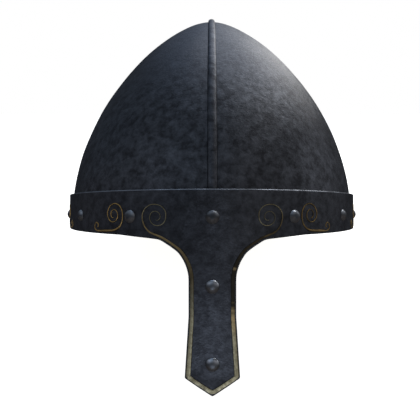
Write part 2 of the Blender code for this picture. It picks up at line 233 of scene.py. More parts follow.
bowl_heights = [BOWL_RIM, *WALL_ROWS]
for ring in range(DOME_RINGS):
    bowl_heights.append(SPRING_HEIGHT + DOME_HEIGHT * math.sin(math.pi / 2 * ring / DOME_RINGS))
bowl_points = []
for depth in (0.0, BOWL_THICKNESS):
    for height in bowl_heights:
        for step in range(BOWL_SEGMENTS):
            place, normal = bowl_place(math.tau * step / BOWL_SEGMENTS, height)
            bowl_points.append(place + normal * (beaten(place) - depth))
    bowl_points.append(Vector((0, 0, SPRING_HEIGHT + DOME_HEIGHT - depth)))
shell = len(bowl_heights) * BOWL_SEGMENTS + 1
bowl_faces = []
for level in range(len(bowl_heights)):
    for step in range(BOWL_SEGMENTS):
        here = level * BOWL_SEGMENTS + step
        beside = level * BOWL_SEGMENTS + (step + 1) % BOWL_SEGMENTS
        if level + 1 < len(bowl_heights):
            bowl_faces.append((here, beside, beside + BOWL_SEGMENTS, here + BOWL_SEGMENTS))
        else:
            bowl_faces.append((here, beside, shell - 1))
outer_faces = len(bowl_faces)
bowl_faces += [tuple(shell + corner for corner in reversed(face)) for face in bowl_faces]
for step in range(BOWL_SEGMENTS):
    beside = (step + 1) % BOWL_SEGMENTS
    bowl_faces.append((beside, step, shell + step, shell + beside))
bowl = make_piece("raised_bowl", bowl_points, bowl_faces, [blackened_iron, fire_scale])
for index, face in enumerate(bowl.data.polygons):
    face.material_index = int(outer_faces <= index < 2 * outer_faces)
mark(bowl, "burnished", [CROWN_BURNISHED * ramp(point.z, *BURNISHED_FROM) for point in bowl_points])
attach(bowl, "root")
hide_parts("bowl")


# The comb: a forged half-round iron bar, bent over the crown from the band's front edge to its back
# edge and fixed down on the bowl. Along both its feet the corner is darkened with painted shade.
RIB_WIDTH = 0.0048
RIB_RISE = 0.0019
BAND_HEIGHT = 0.022
RIB_START = BAND_HEIGHT + 0.0002
RIB_SUNK = 0.0002
RIB_STATIONS = 200
RIB_CORNERS = 14
RIB_FULLNESS = 3.0
RIB_UNEVEN = 0.00003
RIB_UNEVEN_LENGTH = 0.006
# Painted shade along both feet of the comb, where it meets the bowl
RIB_FOOT_PAINTED_SHADE = 0.85


def bowl_drop(place, normal):
    """How far below this point, against the normal, the smooth bowl's outer surface lies."""
    near, far = -RIB_WIDTH, RIB_WIDTH
    for _ in range(30):
        middle = (near + far) / 2
        lower = place - normal * middle
        share = math.hypot(lower.x / BOWL_HALF_WIDTH, lower.y / BOWL_HALF_DEPTH)
        rise = max(0.0, lower.z - SPRING_HEIGHT) / DOME_HEIGHT
        if share ** DOME_PLAN_POWER + rise ** DOME_RISE_POWER > 1:
            near = middle
        else:
            far = middle
    return near


rib_points = []
rib_painted_shade = []
first_turn = math.asin((RIB_START - SPRING_HEIGHT) / DOME_HEIGHT)
for station in range(RIB_STATIONS + 1):
    turn = first_turn + (math.pi - 2 * first_turn) * station / RIB_STATIONS
    height = SPRING_HEIGHT + DOME_HEIGHT * math.sin(turn)
    place, normal = bowl_place(0.0 if turn < math.pi / 2 else math.pi, height)
    if station == RIB_STATIONS // 2:
        normal = Vector((0, 0, 1))
    place.x = normal.x = 0.0
    crest = RIB_RISE + RIB_UNEVEN * noise.noise(place / RIB_UNEVEN_LENGTH)
    for corner in range(RIB_CORNERS + 1):
        sweep = math.pi * corner / RIB_CORNERS
        across = RIB_WIDTH / 2 * math.cos(sweep)
        foot = -bowl_drop(place + Vector((across, 0, 0)), normal) - RIB_SUNK
        lift = foot + (crest - foot) * math.sin(sweep) ** (2 / RIB_FULLNESS)
        rib_points.append(place + Vector((across, 0, 0)) + normal * lift)
        rib_painted_shade.append(RIB_FOOT_PAINTED_SHADE if corner in (0, RIB_CORNERS) else 0.0)
row = RIB_CORNERS + 1
rib_faces = [tuple(range(row)), tuple(RIB_STATIONS * row + corner for corner in reversed(range(row)))]
for station in range(RIB_STATIONS):
    for corner in range(row):
        here = station * row + corner
        beside = station * row + (corner + 1) % row
        rib_faces.append((here, here + row, beside + row, beside))
comb = make_piece("comb_bar", rib_points, rib_faces, [blackened_iron])
# The comb's feet take the painted shade
mark(comb, "painted_light", rib_painted_shade)
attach(comb, "root")
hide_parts("comb_rib")


# The brow band and nose guard: one plate of the same blackened iron, cut to shape, its edges rounded
# with a file and then rubbed lighter by wear, the upper edge lighter still with a painted highlight,
# bent round the bowl and welded behind.
BAND_HALF_WIDTH = 0.104
NECK_WIDTH = 0.022
SHOULDER_WIDTH = 0.0256
POINT_LENGTH = 0.008
FLARE_START = 0.0366
FILLET_SPAN = 0.035
FILLET_DROP = 0.020
# Shares of how far the curve into the neck reaches beyond it, and of how far it drops
FILLET_SHARES = ((1.0, 0.0), (0.714, 0.033), (0.486, 0.063), (0.389, 0.090), (0.294, 0.180),
                 (0.211, 0.273), (0.137, 0.375), (0.074, 0.530), (0.031, 0.695), (0.006, 0.860),
                 (0.0, 1.0))
FILLET_DIVISION = 0.0011
EDGE_DIVISION = 0.002
CORNER_RADIUS = 0.0006
EDGE_RADIUS = 0.00045
BACK_EDGE_RADIUS = 0.0003
EDGE_STEPS = 4
BESIDE_EDGE = 0.00015
SEAM = math.pi * BAND_HALF_WIDTH
# The faces' inner points: a close grid in front and down to the neck, columns of a few behind
FRONT_REACH = 0.078
FRONT_REACH_DOWN_TO = -0.003
FRONT_GRID = 0.0017
FRONT_MARGIN = 0.6 * FRONT_GRID
BACK_COLUMNS = 150
BACK_ROWS = (0.25, 0.5, 0.75)
PLATE_UNEVEN = 0.00004
PLATE_UNEVEN_LENGTH = 0.009
PLATE_BURNISHED = 0.25
# How much the lower and upper edges are lightened: wear, and on the upper edge a painted highlight too
LOWER_EDGE_RUBBED = 0.12
UPPER_EDGE_WEAR_AND_HIGHLIGHT = 1.0
RUBBED_PATCH = 0.007
# Painted shade low on the band and down the neck of the nose guard, and on the tip, and how far below
# the rim it sets in and ends
NECK_PAINTED_SHADE = 0.16
NECK_PAINTED_SHADE_FROM = (-0.008, 0.006)
NECK_PAINTED_SHADE_TO = (0.016, 0.034)
TIP_PAINTED_SHADE = 0.28
TIP_PAINTED_SHADE_FROM = (0.060, 0.067)


def band_normal(angle):
    return Vector((math.sin(angle) / BAND_HALF_WIDTH, -math.cos(angle) / BAND_HALF_DEPTH, 0)).normalized()


def plate_point(along, height, proud=0.0):
    """A point on the plate's outer face. Along is the angle times the band's half width."""
    angle = along / BAND_HALF_WIDTH
    on_face = Vector((BAND_HALF_WIDTH * math.sin(angle), -BAND_HALF_DEPTH * math.cos(angle), height))
    wave = PLATE_UNEVEN * noise.noise(on_face / PLATE_UNEVEN_LENGTH)
    return on_face + band_normal(angle) * (proud + wave)


def along_at(across):
    """Where the plate lies at this distance from the middle plane."""
    return BAND_HALF_WIDTH * math.asin(across / BAND_HALF_WIDTH)


def rounded(corners, radius, steps=5):
    """The open line with its inner corners turned into short curves."""
    line = [corners[0]]
    for before, corner, after in zip(corners, corners[1:], corners[2:]):
        cut = min(radius, (before - corner).length / 2, (after - corner).length / 2)
        start = corner + (before - corner).normalized() * cut
        end = corner + (after - corner).normalized() * cut
        for step in range(steps + 1):
            share = step / steps
            line.append(start.lerp(corner, share).lerp(corner.lerp(end, share), share))
    line.append(corners[-1])
    return line


def divided(line, step):
    """The line with points between its own, so that none lie further apart than this."""
    rows = [line[0]]
    for before, after in zip(line, line[1:]):
        count = max(1, math.ceil((after - before).length / step))
        rows += [before.lerp(after, index / count) for index in range(1, count + 1)]
    return rows


def through(rows, step):
    """A smooth line through the rows, with a row about every step along it."""
    ends = [rows[0], *rows, rows[-1]]
    line = []
    for a, b, c, d in zip(ends, ends[1:], ends[2:], ends[3:]):
        count = max(1, round(math.dist(b[:2], c[:2]) / step))
        for index in range(count):
            t = index / count
            line.append(tuple(
                (2 * q + (r - p) * t + (2 * p - 5 * q + 4 * r - s) * t * t
                 + (3 * q - p - 3 * r + s) * t ** 3) / 2
                for p, q, r, s in zip(a, b, c, d)))
    return line + [tuple(rows[-1])]


# The lower edge from the nose guard's tip to the seam behind, on one side
neck = along_at(NECK_WIDTH / 2)
shoulder = Vector((along_at(SHOULDER_WIDTH / 2), POINT_LENGTH - NASAL_LENGTH))
tip = Vector((0, -NASAL_LENGTH))
half_edge = [Vector((-shoulder.x, shoulder.y)), tip, shoulder, Vector((neck, -FLARE_START)),
             Vector((neck, -FILLET_DROP))]
half_edge = divided(rounded(half_edge, CORNER_RADIUS), EDGE_DIVISION)
half_edge = half_edge[min(range(len(half_edge)), key=lambda index: abs(half_edge[index].x)):]
fillet = [(along_at(NECK_WIDTH / 2 + FILLET_SPAN * out), -FILLET_DROP * down)
          for out, down in reversed(FILLET_SHARES)]
half_edge += [Vector(point) for point in through(fillet, FILLET_DIVISION)[1:]]
along = half_edge[-1].x
while along + FRONT_GRID < FRONT_REACH:
    along += FRONT_GRID
    half_edge.append(Vector((along, 0)))
back_step = (SEAM - along) / BACK_COLUMNS
back_alongs = [along + back_step * index for index in range(1, BACK_COLUMNS + 1)]
half_edge += [Vector((along, 0)) for along in back_alongs]
half_edge[0].x = 0.0
lower_edge = [Vector((-point.x, point.y)) for point in reversed(half_edge[1:])] + half_edge
half_top = [Vector((0, BAND_HEIGHT))]
while half_top[-1].x + FRONT_GRID < back_alongs[0] - FRONT_GRID / 2:
    half_top.append(Vector((half_top[-1].x + FRONT_GRID, BAND_HEIGHT)))
half_top += [Vector((along, BAND_HEIGHT)) for along in back_alongs]
upper_edge = half_top[::-1] + [Vector((-point.x, point.y)) for point in half_top[1:]]


def inward(line):
    """For each point of the line, the direction to its left, long enough to keep an inset even."""
    turned = []
    for index, point in enumerate(line):
        coming = (point - line[index - 1]).normalized() if index else None
        going = (line[index + 1] - point).normalized() if index + 1 < len(line) else coming
        coming = coming or going
        left = Vector((-coming.y - going.y, coming.x + going.x)).normalized()
        turned.append(left / max(0.5, left.dot(Vector((-going.y, going.x)))))
    return turned


# From the front face, round the edge, to the back face: (inset, depth, how far lightened by wear and
# painted highlight)
edge_rings = [(EDGE_RADIUS + BESIDE_EDGE, 0.0, 0.0)]
for step in range(EDGE_STEPS + 1):
    turn = math.pi / 2 * (1 - step / EDGE_STEPS)
    edge_rings.append((EDGE_RADIUS * (1 - math.cos(turn)), EDGE_RADIUS * (1 - math.sin(turn)),
                       1.0 if step else 0.45))
edge_rings.append((0.0, BAND_THICKNESS - BACK_EDGE_RADIUS, 0.3))
edge_rings.append((0.3 * BACK_EDGE_RADIUS, BAND_THICKNESS - 0.3 * BACK_EDGE_RADIUS, 0.3))
edge_rings.append((BACK_EDGE_RADIUS, BAND_THICKNESS, 0.1))
edge_rings.append((EDGE_RADIUS + BESIDE_EDGE, BAND_THICKNESS, 0.0))

plate_points = []
plate_wear_and_highlight = []
plate_faces = []
# The upper edge is lightened for wear and a painted highlight, the lower for wear only
for line, handled in ((lower_edge, LOWER_EDGE_RUBBED), (upper_edge, UPPER_EDGE_WEAR_AND_HIGHLIGHT)):
    ways = inward(line)
    starts = []
    for inset, depth, worn in edge_rings:
        starts.append(len(plate_points))
        for point, way in zip(line, ways):
            moved = point + way * inset
            plate_points.append(plate_point(moved.x, moved.y, -depth))
            patchy = 0.65 + 0.6 * noise.noise(Vector((moved.x, moved.y, 0.3)) / RUBBED_PATCH)
            plate_wear_and_highlight.append(worn * handled * clamped(patchy, 0.0, 1.0))
    for start, following in zip(starts, starts[1:]):
        for index in range(len(line) - 1):
            plate_faces.append((start + index, following + index,
                                following + index + 1, start + index + 1))

# Both faces are filled between their innermost rings, over points of their own
inset = edge_rings[0][0]
face_height = BAND_HEIGHT - 2 * inset
flat = [point + way * inset for point, way in zip(lower_edge, inward(lower_edge))]
flat += [Vector((SEAM, inset + face_height * share)) for share in BACK_ROWS]
flat += [point + way * inset for point, way in zip(upper_edge, inward(upper_edge))]
flat += [Vector((-SEAM, inset + face_height * share)) for share in reversed(BACK_ROWS)]
outline = len(flat)


def well_inside(point, margin):
    """True if the point lies inside the face's outline and no closer to it than the margin."""
    crossings = 0
    for index in range(outline):
        start, end = flat[index - 1], flat[index]
        if min(start.x, end.x) - margin > point.x or max(start.x, end.x) + margin < point.x:
            if (start.y > point.y) == (end.y > point.y):
                continue
        if (start.y > point.y) != (end.y > point.y):
            share = (point.y - start.y) / (end.y - start.y)
            crossings += start.x + (end.x - start.x) * share > point.x
        run = end - start
        share = clamped((point - start).dot(run) / max(run.length_squared, 1e-12), 0.0, 1.0)
        if (start + run * share - point).length < margin:
            return False
    return crossings % 2 == 1


rows = int((BAND_HEIGHT + NASAL_LENGTH) / FRONT_GRID)
for row_index in range(rows):
    height = BAND_HEIGHT - FRONT_GRID * (row_index + 0.5)
    columns = int((FRONT_REACH if height > FRONT_REACH_DOWN_TO else FILLET_SPAN) / FRONT_GRID) + 1
    for column in range(-columns, columns + 1):
        point = Vector((FRONT_GRID * (column + 0.5 * (row_index % 2)), height))
        if abs(point.x) < back_alongs[0] - FRONT_GRID and well_inside(point, FRONT_MARGIN):
            flat.append(point)
for share in BACK_ROWS:
    height = inset + face_height * share
    for along in back_alongs[:-1]:
        flat += [Vector((along, height)), Vector((-along, height))]
filled = delaunay_2d_cdt(flat, [], [list(range(outline))], 1, 1e-7)
fill_points, _, fill_faces = filled[:3]
for depth in (0.0, BAND_THICKNESS):
    first = len(plate_points)
    plate_points += [plate_point(point.x, point.y, -depth) for point in fill_points]
    plate_wear_and_highlight += [0.0] * len(fill_points)
    for face in fill_faces:
        corners = [first + corner for corner in face]
        plate_faces.append(tuple(corners if depth == 0.0 else reversed(corners)))
band = make_piece("brow_band_plate", plate_points, plate_faces, [blackened_iron])
mark(band, "wear_and_highlight", plate_wear_and_highlight)
# Painted shade: darker low on the band and down the neck of the nose guard, and at its tip
plate_painted_shade = []
for point in plate_points:
    in_neck = ramp(-point.z, *NECK_PAINTED_SHADE_FROM) * (1 - ramp(-point.z, *NECK_PAINTED_SHADE_TO))
    plate_painted_shade.append(NECK_PAINTED_SHADE * in_neck + TIP_PAINTED_SHADE * ramp(-point.z, *TIP_PAINTED_SHADE_FROM))
mark(band, "painted_light", plate_painted_shade)
mark(band, "burnished", [PLATE_BURNISHED] * len(plate_points))
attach(band, "root")
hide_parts("brow_band")


# The brass: wire hammered into grooves cut in the iron and filed almost level. One wire edges the
# nose guard and winds into the two brow scrolls. Behind them, scrolls flank every second rivet. Each
# groove's rim is a thin dark strip along the wire, painted shade where the wire meets the iron.
EDGING_INSET = 0.00165
EDGING_WIDTH = 0.00205
NECK_EDGING_WIDTH = 0.00165
TIP_EDGING_WIDTH = 0.00180
LEAD_WIDTH = 0.00100
# The edging widens down the nose guard and narrows round its tip, over these depths below the rim,
# and over these heights it narrows into the wire that leads to the brow scroll
EDGING_WIDENS = (0.030, 0.060)
EDGING_NARROWS = (0.0625, 0.0655)
LEAD_NARROWS = (-0.014, -0.001)
LEAD_GAP = 0.001
EDGING_CORNER = 0.0009
EDGING_PROUD = 0.00028
EDGING_ROUNDNESS = 0.26
WIRE_PROUD = 0.00025
WIRE_ROUNDNESS = 0.75
WIRE_SUNK = 0.00012
WIRE_STEP = 0.00035
WIRE_SIDES = 8
WIRE_END = 0.0005
# How unevenly the hammer left the wire: shares of its width and height, and over what length
WIDTH_UNEVEN = 0.07
WIDTH_UNEVEN_LENGTH = 0.0031
HEIGHT_UNEVEN = 0.2
HEIGHT_UNEVEN_LENGTH = 0.0043
# The groove's dark rim, a painted shade line, at its full width beside wire of this width, and how
# it slopes in
EDGING_RIM_WIDTH = 0.00008
SCROLL_RIM_WIDTH = 0.00020
RIM_PROUD = 0.00003
RIM_FULL_AT = 0.0007
RIM_SLOPE = 1.15
RIVET_SPACING = math.tau / 16
BAND_ARC = 0.113
# On the wearer's left and right: the heights between which the edging's wear sets in and how worn it
# is above them, down to where it keeps its gold, how worn its lead into the brow scroll is, how much
# painted shade darkens the brow scroll's outer turns beyond its table's wear, and how worn the next
# scroll is
WEAR_STARTS = {1: (-0.0365, -0.0300), -1: (-0.0400, -0.0200)}
EDGING_WORN = {1: 1.0, -1: 0.70}
GOLD_DOWN_TO = {1: -0.0410, -1: -0.0200}
LEAD_WORN = {1: 0.92, -1: 0.15}
BROW_SCROLL_PAINTED_SHADE = {1: 0.75, -1: 0.0}
SIDE_SCROLL_WORN = {1: 0.52, -1: 0.0}
# The wear's border is ragged by this much, over this length
WEAR_RAGGED = 0.003
WEAR_RAGGED_LENGTH = 0.0018
# How pale the edging's gold part and its lead are, and how far above and below the gold part's end
# the turn to fully pale sets in and is done
EDGING_PALE = 0.5
LEAD_PALE = 0.4
GOLD_FADES = (-0.004, 0.008)
# By the wear in its table: where a brow scroll's painted shade fades out, and where it turns paler
PAINTED_SHADE_FADES = (0.1, 0.62)
SCROLL_PALES = (0.2, 0.6)
# One spot on the wearer's left still shows bare brass
BARE_SPOT = {1: 0.55, -1: 0.0}
BARE_SPOT_HEIGHT = -0.0146
BARE_SPOT_REACH = 0.0009
BARE_SPOT_FADE = 0.0006

# (millimetres from the rivet's middle line, millimetres above the band's lower edge, wire width in
# millimetres, how far worn)
BROW_SCROLL = (
    (16.8, 0.15, 0.96, 0.2), (14.6, 0.85, 0.90, 0.1), (12.1, 1.8, 0.80, 0.1), (10.3, 3.15, 0.70, 0.15),
    (8.8, 5.0, 0.62, 0.25), (7.8, 7.6, 0.55, 0.35), (7.7, 9.6, 0.50, 0.4), (8.3, 11.6, 0.46, 0.45),
    (9.6, 13.2, 0.44, 0.5), (11.6, 14.4, 0.44, 0.5), (13.6, 14.9, 0.44, 0.45), (15.8, 14.8, 0.44, 0.5),
    (17.8, 14.3, 0.44, 0.6), (19.4, 13.2, 0.44, 0.6), (20.5, 11.7, 0.44, 0.5), (20.85, 9.8, 0.44, 0.5),
    (20.4, 7.5, 0.42, 0.6), (19.1, 5.9, 0.40, 0.6), (17.2, 5.1, 0.40, 0.5), (15.2, 5.1, 0.40, 0.5),
    (13.3, 6.0, 0.36, 0.6), (12.2, 7.6, 0.34, 0.7), (12.0, 9.2, 0.32, 0.7), (12.7, 10.7, 0.32, 0.7),
    (13.9, 11.5, 0.32, 0.6), (15.3, 11.7, 0.32, 0.6), (16.7, 11.2, 0.32, 0.6), (17.6, 10.2, 0.32, 0.6),
    (17.8, 9.0, 0.32, 0.7), (17.3, 8.0, 0.32, 0.7), (16.3, 7.5, 0.32, 0.7), (15.2, 7.6, 0.34, 0.7),
)
BAND_SCROLL = (
    (24.7, 3.1, 0.66), (23.9, 3.9, 0.60), (24.0, 5.0, 0.58), (25.2, 5.7, 0.58), (26.5, 5.2, 0.58),
    (27.2, 4.1, 0.58), (27.1, 2.8, 0.62), (26.1, 1.8, 0.70), (24.3, 1.45, 0.80), (22.0, 1.5, 0.92),
    (19.5, 1.6, 0.98), (17.0, 1.7, 1.00), (14.5, 1.85, 1.00), (12.0, 2.0, 0.95), (9.8, 2.5, 0.86),
    (7.7, 3.5, 0.76), (6.1, 5.0, 0.68), (5.15, 6.9, 0.60), (4.75, 9.0, 0.56), (4.95, 11.2, 0.53),
    (5.7, 13.0, 0.52), (7.0, 14.4, 0.52), (8.7, 15.2, 0.52), (10.6, 15.4, 0.52), (12.8, 14.8, 0.52),
    (14.6, 13.4, 0.52), (15.7, 11.5, 0.50), (15.8, 9.9, 0.50), (15.2, 8.3, 0.50), (13.9, 6.9, 0.48),
    (12.2, 6.25, 0.46), (10.5, 6.5, 0.44), (9.0, 7.5, 0.42), (8.2, 9.0, 0.40), (8.3, 10.6, 0.40),
    (9.1, 11.8, 0.40), (10.4, 12.45, 0.40), (11.8, 12.2, 0.40), (12.9, 11.2, 0.40), (13.1, 9.8, 0.40),
    (12.4, 8.6, 0.40), (11.3, 8.3, 0.42),
)


# Real tarnish specks are some tenths of a millimetre wide. They are drawn coarser, so that they show.
# Lengths of about a centimetre are worn browner than the rest
TARNISH_SPECKS = 0.0016
WORN_LENGTHS = 0.011
BRASS_RELIEF = 0.00008


def aged_brass(name, gold, pale, olive, worn):
    """Brass wire, hammered and filed: gold in the scrolls, paler where it has been handled, olive in
    specks of tarnish and brown where it is worn."""
    made = bpy.data.materials.new(name)
    made.use_nodes = True
    tree = made.node_tree
    shader = tree.nodes["Principled BSDF"]
    shader.inputs["Metallic"].default_value = 1.0
    here = node(tree, "ShaderNodeTexCoord").outputs["Object"]
    lengths = node(tree, "ShaderNodeTexNoise",
                   {"Scale": 1 / WORN_LENGTHS, "Detail": 2.0, "Roughness": 0.5},
                   {"Vector": here}).outputs[0]
    specks = node(tree, "ShaderNodeTexNoise",
                  {"Scale": 1 / TARNISH_SPECKS, "Detail": 3.0, "Roughness": 0.6},
                  {"Vector": here}).outputs[0]
    tarnish = node(tree, "ShaderNodeMapRange",
                   {"From Min": 0.42, "From Max": 0.64, "To Min": 0.0, "To Max": 0.5},
                   {"Value": specks}).outputs[0]
    handled = node(tree, "ShaderNodeAttribute", attribute_name="pale").outputs["Fac"]
    colour = node(tree, "ShaderNodeMix", {6: linear(gold), 7: linear(pale)}, {0: handled},
                  data_type="RGBA").outputs[2]
    colour = node(tree, "ShaderNodeMix", {7: linear(olive)}, {0: tarnish, 6: colour},
                  data_type="RGBA").outputs[2]
    wear = node(tree, "ShaderNodeMapRange",
                {"From Min": 0.54, "From Max": 0.68, "To Min": 0.0, "To Max": 0.3},
                {"Value": lengths}).outputs[0]
    marked = node(tree, "ShaderNodeAttribute", attribute_name="worn").outputs["Fac"]
    wear = node(tree, "ShaderNodeMath", None, {0: wear, 1: marked}, operation="ADD",
                use_clamp=True).outputs[0]
    colour = node(tree, "ShaderNodeMix", {7: linear(worn)}, {0: wear, 6: colour},
                  data_type="RGBA").outputs[2]
    tree.links.new(colour, shader.inputs["Base Color"])
    dull = node(tree, "ShaderNodeMapRange",
                {"From Min": 0.35, "From Max": 0.65, "To Min": 0.36, "To Max": 0.60},
                {"Value": specks}).outputs[0]
    tree.links.new(dull, shader.inputs["Roughness"])
    bump = node(tree, "ShaderNodeBump", {"Strength": 0.8, "Distance": BRASS_RELIEF},
                {"Height": specks})
    tree.links.new(bump.outputs[0], shader.inputs["Normal"])
    return made


# The brass keeps a muted gold glow only where wear and tarnish have left it. The grooves' rims are
# dull and nearly black, a painted shade that draws a thin dark line along each wire
wire_brass = aged_brass("tarnished_brass_wire", "#cfa968", "#aba283", "#857c5e", "#38342b")
groove_painted_shade = forged_iron("groove_painted_shade", "#1c1c1d", "#26282b", "#2c2e31", "#15130f",
                             smooth=0.55, rough=0.75, patch=0.0016)


def lay_wire(name, line, proud, roundness, rim):
    """A wire let into the plate along (along, height, width, how worn, how pale) rows, with a dark
    rim of painted shade on either side."""
    places = [plate_point(along, height) for along, height, *_ in line]
    total = len(line) - 1
    points = []
    worn_shares = []
    pale_shares = []
    for index, (along, height, width, worn, pale) in enumerate(line):
        normal = band_normal(along / BAND_HALF_WIDTH)
        going = places[min(index + 1, total)] - places[max(index - 1, 0)]
        side = going.cross(normal).normalized()
        to_end = min(index, total - index) * WIRE_STEP / WIRE_END
        rounding = math.sqrt(clamped(to_end * (2 - min(to_end, 1)), 0.04, 1.0))
        uneven = 1 + WIDTH_UNEVEN * noise.noise(places[index] / WIDTH_UNEVEN_LENGTH)
        half = width / 2 * rounding * uneven
        uneven = 1 + HEIGHT_UNEVEN * noise.noise(places[index] / HEIGHT_UNEVEN_LENGTH)
        rise = proud * rounding * uneven
        edge = rim * min(1.0, width / RIM_FULL_AT)
        section = [(-half - edge * RIM_SLOPE, -WIRE_SUNK), (-half - edge, RIM_PROUD)]
        for corner in range(WIRE_SIDES + 1):
            sweep = math.pi * corner / WIRE_SIDES
            lift = RIM_PROUD + (rise - RIM_PROUD) * math.sin(sweep) ** roundness
            section.append((-half * math.cos(sweep), lift))
        section += [(half + edge, RIM_PROUD), (half + edge * RIM_SLOPE, -WIRE_SUNK)]
        points += [places[index] + side * across + normal * lift for across, lift in section]
        worn_shares += [clamped(worn, 0.0, 1.0)] * len(section)
        pale_shares += [clamped(pale, 0.0, 1.0)] * len(section)
    row = WIRE_SIDES + 5
    faces = [tuple(range(row)), tuple(total * row + corner for corner in reversed(range(row)))]
    # The rims' faces take the painted shade
    dark = [0, 1]
    for index in range(total):
        for corner in range(row):
            here = index * row + corner
            beside = index * row + (corner + 1) % row
            if corner in (0, 1, row - 3, row - 2, row - 1):
                dark.append(len(faces))
            faces.append((here, here + row, beside + row, beside))
    wire = make_piece(name, points, faces, [wire_brass, groove_painted_shade], sharp_angle=60)
    for index in dark:
        wire.data.polygons[index].material_index = 1
    mark(wire, "worn", worn_shares)
    mark(wire, "pale", pale_shares)
    return wire


def inset_line(line, inset):
    """The line moved to its left by the inset, with mitred corners. Its two ends are left out."""
    moved = []
    for before, corner, after in zip(line, line[1:], line[2:]):
        entering = (corner - before).normalized()
        leaving = (after - corner).normalized()
        left = Vector((-entering.y, entering.x)) + Vector((-leaving.y, leaving.x))
        moved.append(corner + left.normalized() * inset / (left.length / 2))
    return moved


# The edging on the wearer's left, from the tip up round the fillet to where the scroll leads in
fillet = [Vector(point) for point in through(fillet, FILLET_DIVISION)]
plate_edge = [Vector((-shoulder.x, shoulder.y)), tip, shoulder, Vector((neck, -FLARE_START)), *fillet]
run = inset_line(plate_edge, EDGING_INSET)
run = [Vector((-run[1].x, run[1].y)), *run]
run = divided(rounded(run, EDGING_CORNER), WIRE_STEP)
run = run[min(range(len(run)), key=lambda index: abs(run[index].x)):]
run[0].x = 0.0
lead_in = BAND_HALF_WIDTH * (RIVET_SPACING - BROW_SCROLL[0][0] / 1000 / BAND_ARC)
run = [point for point in run if point.x < lead_in - LEAD_GAP]
edging = []
for side in (-1, 1):
    rows = []
    for point in run:
        depth = -point.y
        narrowing = ramp(point.y, *LEAD_NARROWS)
        width = NECK_EDGING_WIDTH + (EDGING_WIDTH - NECK_EDGING_WIDTH) * ramp(depth, *EDGING_WIDENS)
        width += (TIP_EDGING_WIDTH - width) * ramp(depth, *EDGING_NARROWS)
        width += (LEAD_WIDTH - width) * narrowing
        ragged = WEAR_RAGGED * noise.noise(Vector((point.y / WEAR_RAGGED_LENGTH, side, 0)))
        worn = EDGING_WORN[side] * ramp(point.y + ragged, *WEAR_STARTS[side])
        worn += (LEAD_WORN[side] - worn) * narrowing
        to_spot = abs(point.y - BARE_SPOT_HEIGHT)
        worn -= BARE_SPOT[side] * ramp(BARE_SPOT_REACH - to_spot, 0, BARE_SPOT_FADE)
        gold_depth = -GOLD_DOWN_TO[side]
        fades = ramp(depth, gold_depth + GOLD_FADES[0], gold_depth + GOLD_FADES[1])
        pale = EDGING_PALE + (1 - EDGING_PALE) * fades
        rows.append((point.x, point.y, width, worn, pale + (LEAD_PALE - pale) * narrowing))
    # On the wearer's left the brow scroll's outer turns take painted shade, drawn in the worn colour
    brow_rows = [(BAND_HALF_WIDTH * (RIVET_SPACING - reach / 1000 / BAND_ARC), height / 1000,
                  width / 1000,
                  worn / 2 + BROW_SCROLL_PAINTED_SHADE[side] * (1 - ramp(worn, *PAINTED_SHADE_FADES)),
                  LEAD_PALE + (1 - LEAD_PALE) * ramp(worn, *SCROLL_PALES))
                 for reach, height, width, worn in BROW_SCROLL]
    rows += through([rows.pop(), *brow_rows], WIRE_STEP)
    if side < 0:
        edging = [(-along, *rest) for along, *rest in reversed(rows[1:])]
    else:
        edging += rows
edging_wire = lay_wire("nose_guard_edging", edging, EDGING_PROUD, EDGING_ROUNDNESS,
                       EDGING_RIM_WIDTH)
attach(edging_wire, "root")
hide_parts("nasal_edging")

scroll_number = 0
for rivet in range(1, 16, 2):
    for direction in (-1, 1):
        if (rivet, direction) in ((1, -1), (15, 1)):
            continue
        scroll_number += 1
        rows = [(BAND_HALF_WIDTH * (rivet * RIVET_SPACING + direction * reach / 1000 / BAND_ARC),
                 height / 1000, width / 1000, SIDE_SCROLL_WORN[1 if rivet < 8 else -1], 0.0)
                for reach, height, width in BAND_SCROLL]
        scroll = lay_wire(f"brass_scroll_{scroll_number:02d}", through(rows, WIRE_STEP), WIRE_PROUD,
                          WIRE_ROUNDNESS, SCROLL_RIM_WIDTH)
        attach(scroll, "root")
        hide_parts(f"band_scroll_{scroll_number:02d}")


# The rivets: iron, set hot through the band and the bowl and through the nose guard. Their squat
# round heads are worn brighter than the plates, with a painted highlight along the upper edge and a
# brown painted reflection on the lower side towards the foot. Behind, each is peened over.
HEAD_RADIUS = 0.0031
HEAD_RISE = 0.0018
HEAD_SKIRT = 0.0003
HEAD_SUNK = 0.0001
HEAD_FLARE = 0.0001
HEAD_UNEVEN = 0.025
HEAD_UNEVEN_LENGTH = 0.0034
CROWN_FLATTENED = 0.995
HEAD_RINGS = 14
RIVET_SIDES = 40
SHANK_RADIUS = 0.0014
TAIL_RADIUS = 0.0023
TAIL_RISE = 0.0009
SEAT_GAP = 0.0003
RIVET_HEIGHT = 0.0091
NASAL_RIVET_DROPS = (("upper", 0.0226), ("lower", 0.0580))
# How much brighter hands have rubbed the heads, which also scales the painted highlight on their
# upper edge, and how far from upright that painted highlight is turned
BAND_RIVET_WEAR_AND_HIGHLIGHT = 0.06
NASAL_RIVET_WEAR_AND_HIGHLIGHT = 0.17
PAINTED_HIGHLIGHT_TURN = 0.15

# Lighter than the plates and more even, with a painted highlight, a soft crescent, on each head's
# upper side and a brown painted reflection on the lower side
rivet_iron = forged_iron("worn_rivet_iron", "#414345", "#4c4e52", "#c4c9d0", "#76716d",
                         smooth=0.52, rough=0.60, patch=0.0030, relief=0.00001, polish=0.36)

# A head is the cap of a ball on a low skirt
cap_rise = HEAD_RISE - HEAD_SKIRT
head_ball = (HEAD_RADIUS ** 2 + cap_rise ** 2) / (2 * cap_rise)
last_sweep = math.asin(HEAD_RADIUS / head_ball)


